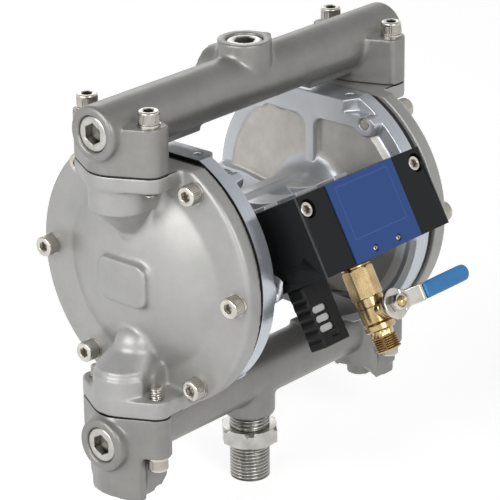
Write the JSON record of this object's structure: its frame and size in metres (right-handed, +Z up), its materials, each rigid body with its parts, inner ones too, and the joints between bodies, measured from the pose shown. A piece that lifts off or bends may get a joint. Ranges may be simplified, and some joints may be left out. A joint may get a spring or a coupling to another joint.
{
  "type": "air operated diaphragm pump",
  "caption": "Double diaphragm pump: two domed covers on a centre body, tube manifolds above and below, tilted air valve with ball valve and silencer.",
  "frame": {"origin": "middle of the two foot bolt holes, on the plane of the soles", "axes": "+X along the shaft to the right hand cover, -Y to the front with the air valve, +Z up"},
  "size_m": [0.2778, 0.2202, 0.3007],
  "materials": {
    "cast_stainless": "glass-bead blasted casting",
    "cast_aluminium": "fine blasted die casting with machined faces",
    "stainless_fitting": "machined, bright",
    "nickel_screw": "bright stainless fastener",
    "shaft_steel": "ground",
    "clamp_disc_alloy": "turned",
    "white_polymer": "moulded fluoropolymer",
    "seal_rubber": "matt black",
    "black_anodised": "black anodised, satin",
    "blue_anodised": "royal blue anodised",
    "brass": "turned brass",
    "plated_steel": "zinc plated pressing",
    "blue_vinyl": "dipped vinyl",
    "black_plastic": "moulded, fine grain",
    "white_felt": "sintered felt block"
  },
  "bodies": {
    "casing": {"cover_right": "cast_stainless", "cover_left": "cast_stainless", "upper_manifold": "cast_stainless", "lower_manifold": "cast_stainless", "centre_body": "cast_aluminium", "suction_nipple": "stainless_fitting", "upper_end_plugs": "stainless_fitting", "lower_end_plugs": "stainless_fitting", "top_plug": "stainless_fitting", "discharge_seats": "stainless_fitting", "suction_seats": "stainless_fitting", "cover_screws_right": "nickel_screw", "cover_screws_left": "nickel_screw", "cover_washers": "nickel_screw", "upper_manifold_screws": "nickel_screw", "lower_manifold_screws": "nickel_screw", "manifold_washers": "nickel_screw", "valve_block_screws": "nickel_screw", "face_plate_screws": "nickel_screw", "stem_gland": "nickel_screw", "valve_sleeve": "shaft_steel", "valve_end_caps": "clamp_disc_alloy", "discharge_cages": "white_polymer", "suction_cages": "white_polymer", "shaft_bushes": "white_polymer", "diaphragm_right": "seal_rubber", "diaphragm_left": "seal_rubber", "port_seals": "seal_rubber", "shaft_seals": "seal_rubber", "valve_gasket": "seal_rubber", "inlet_seal_ring": "seal_rubber", "valve_block": "black_anodised", "valve_face_plate": "blue_anodised", "inlet_valve_body": "brass", "inlet_valve_cap": "brass", "silencer_case": "black_plastic", "silencer_element": "white_felt"},
    "shaft": {"centre_shaft": "shaft_steel", "inner_discs": "clamp_disc_alloy", "outer_discs": "stainless_fitting", "shaft_nuts": "stainless_fitting"},
    "discharge_ball_right": {"discharge_ball_right": "white_polymer"},
    "discharge_ball_left": {"discharge_ball_left": "white_polymer"},
    "suction_ball_right": {"suction_ball_right": "white_polymer"},
    "suction_ball_left": {"suction_ball_left": "white_polymer"},
    "spool": {"valve_spool": "shaft_steel"},
    "lever": {"inlet_ball": "brass", "inlet_stem": "brass", "inlet_lever": "plated_steel", "lever_grip": "blue_vinyl", "lever_nut": "nickel_screw"}
  },
  "joints": [
    {"name": "shaft_stroke", "type": "slide", "parent": "casing", "child": "shaft", "axis": [1, 0, 0], "range_m": [-0.007, 0.007], "deforming": ["diaphragm_right", "diaphragm_left"]},
    {"name": "discharge_ball_right_lift", "type": "slide", "parent": "casing", "child": "discharge_ball_right", "axis": [0, 0, 1], "range_m": [0, 0.006]},
    {"name": "discharge_ball_left_lift", "type": "slide", "parent": "casing", "child": "discharge_ball_left", "axis": [0, 0, 1], "range_m": [0, 0.006]},
    {"name": "suction_ball_right_lift", "type": "slide", "parent": "casing", "child": "suction_ball_right", "axis": [0, 0, 1], "range_m": [0, 0.006]},
    {"name": "suction_ball_left_lift", "type": "slide", "parent": "casing", "child": "suction_ball_left", "axis": [0, 0, 1], "range_m": [0, 0.006]},
    {"name": "spool_shift", "type": "slide", "parent": "casing", "child": "spool", "axis": [1, 0, 0], "range_m": [-0.006, 0.006]},
    {"name": "inlet_lever_turn", "type": "hinge", "parent": "casing", "child": "lever", "pos_m": [0, -0.12449, 0.12181], "axis": [0, 0.8695, -0.4939], "range_deg": [0, 90]}
  ]
}
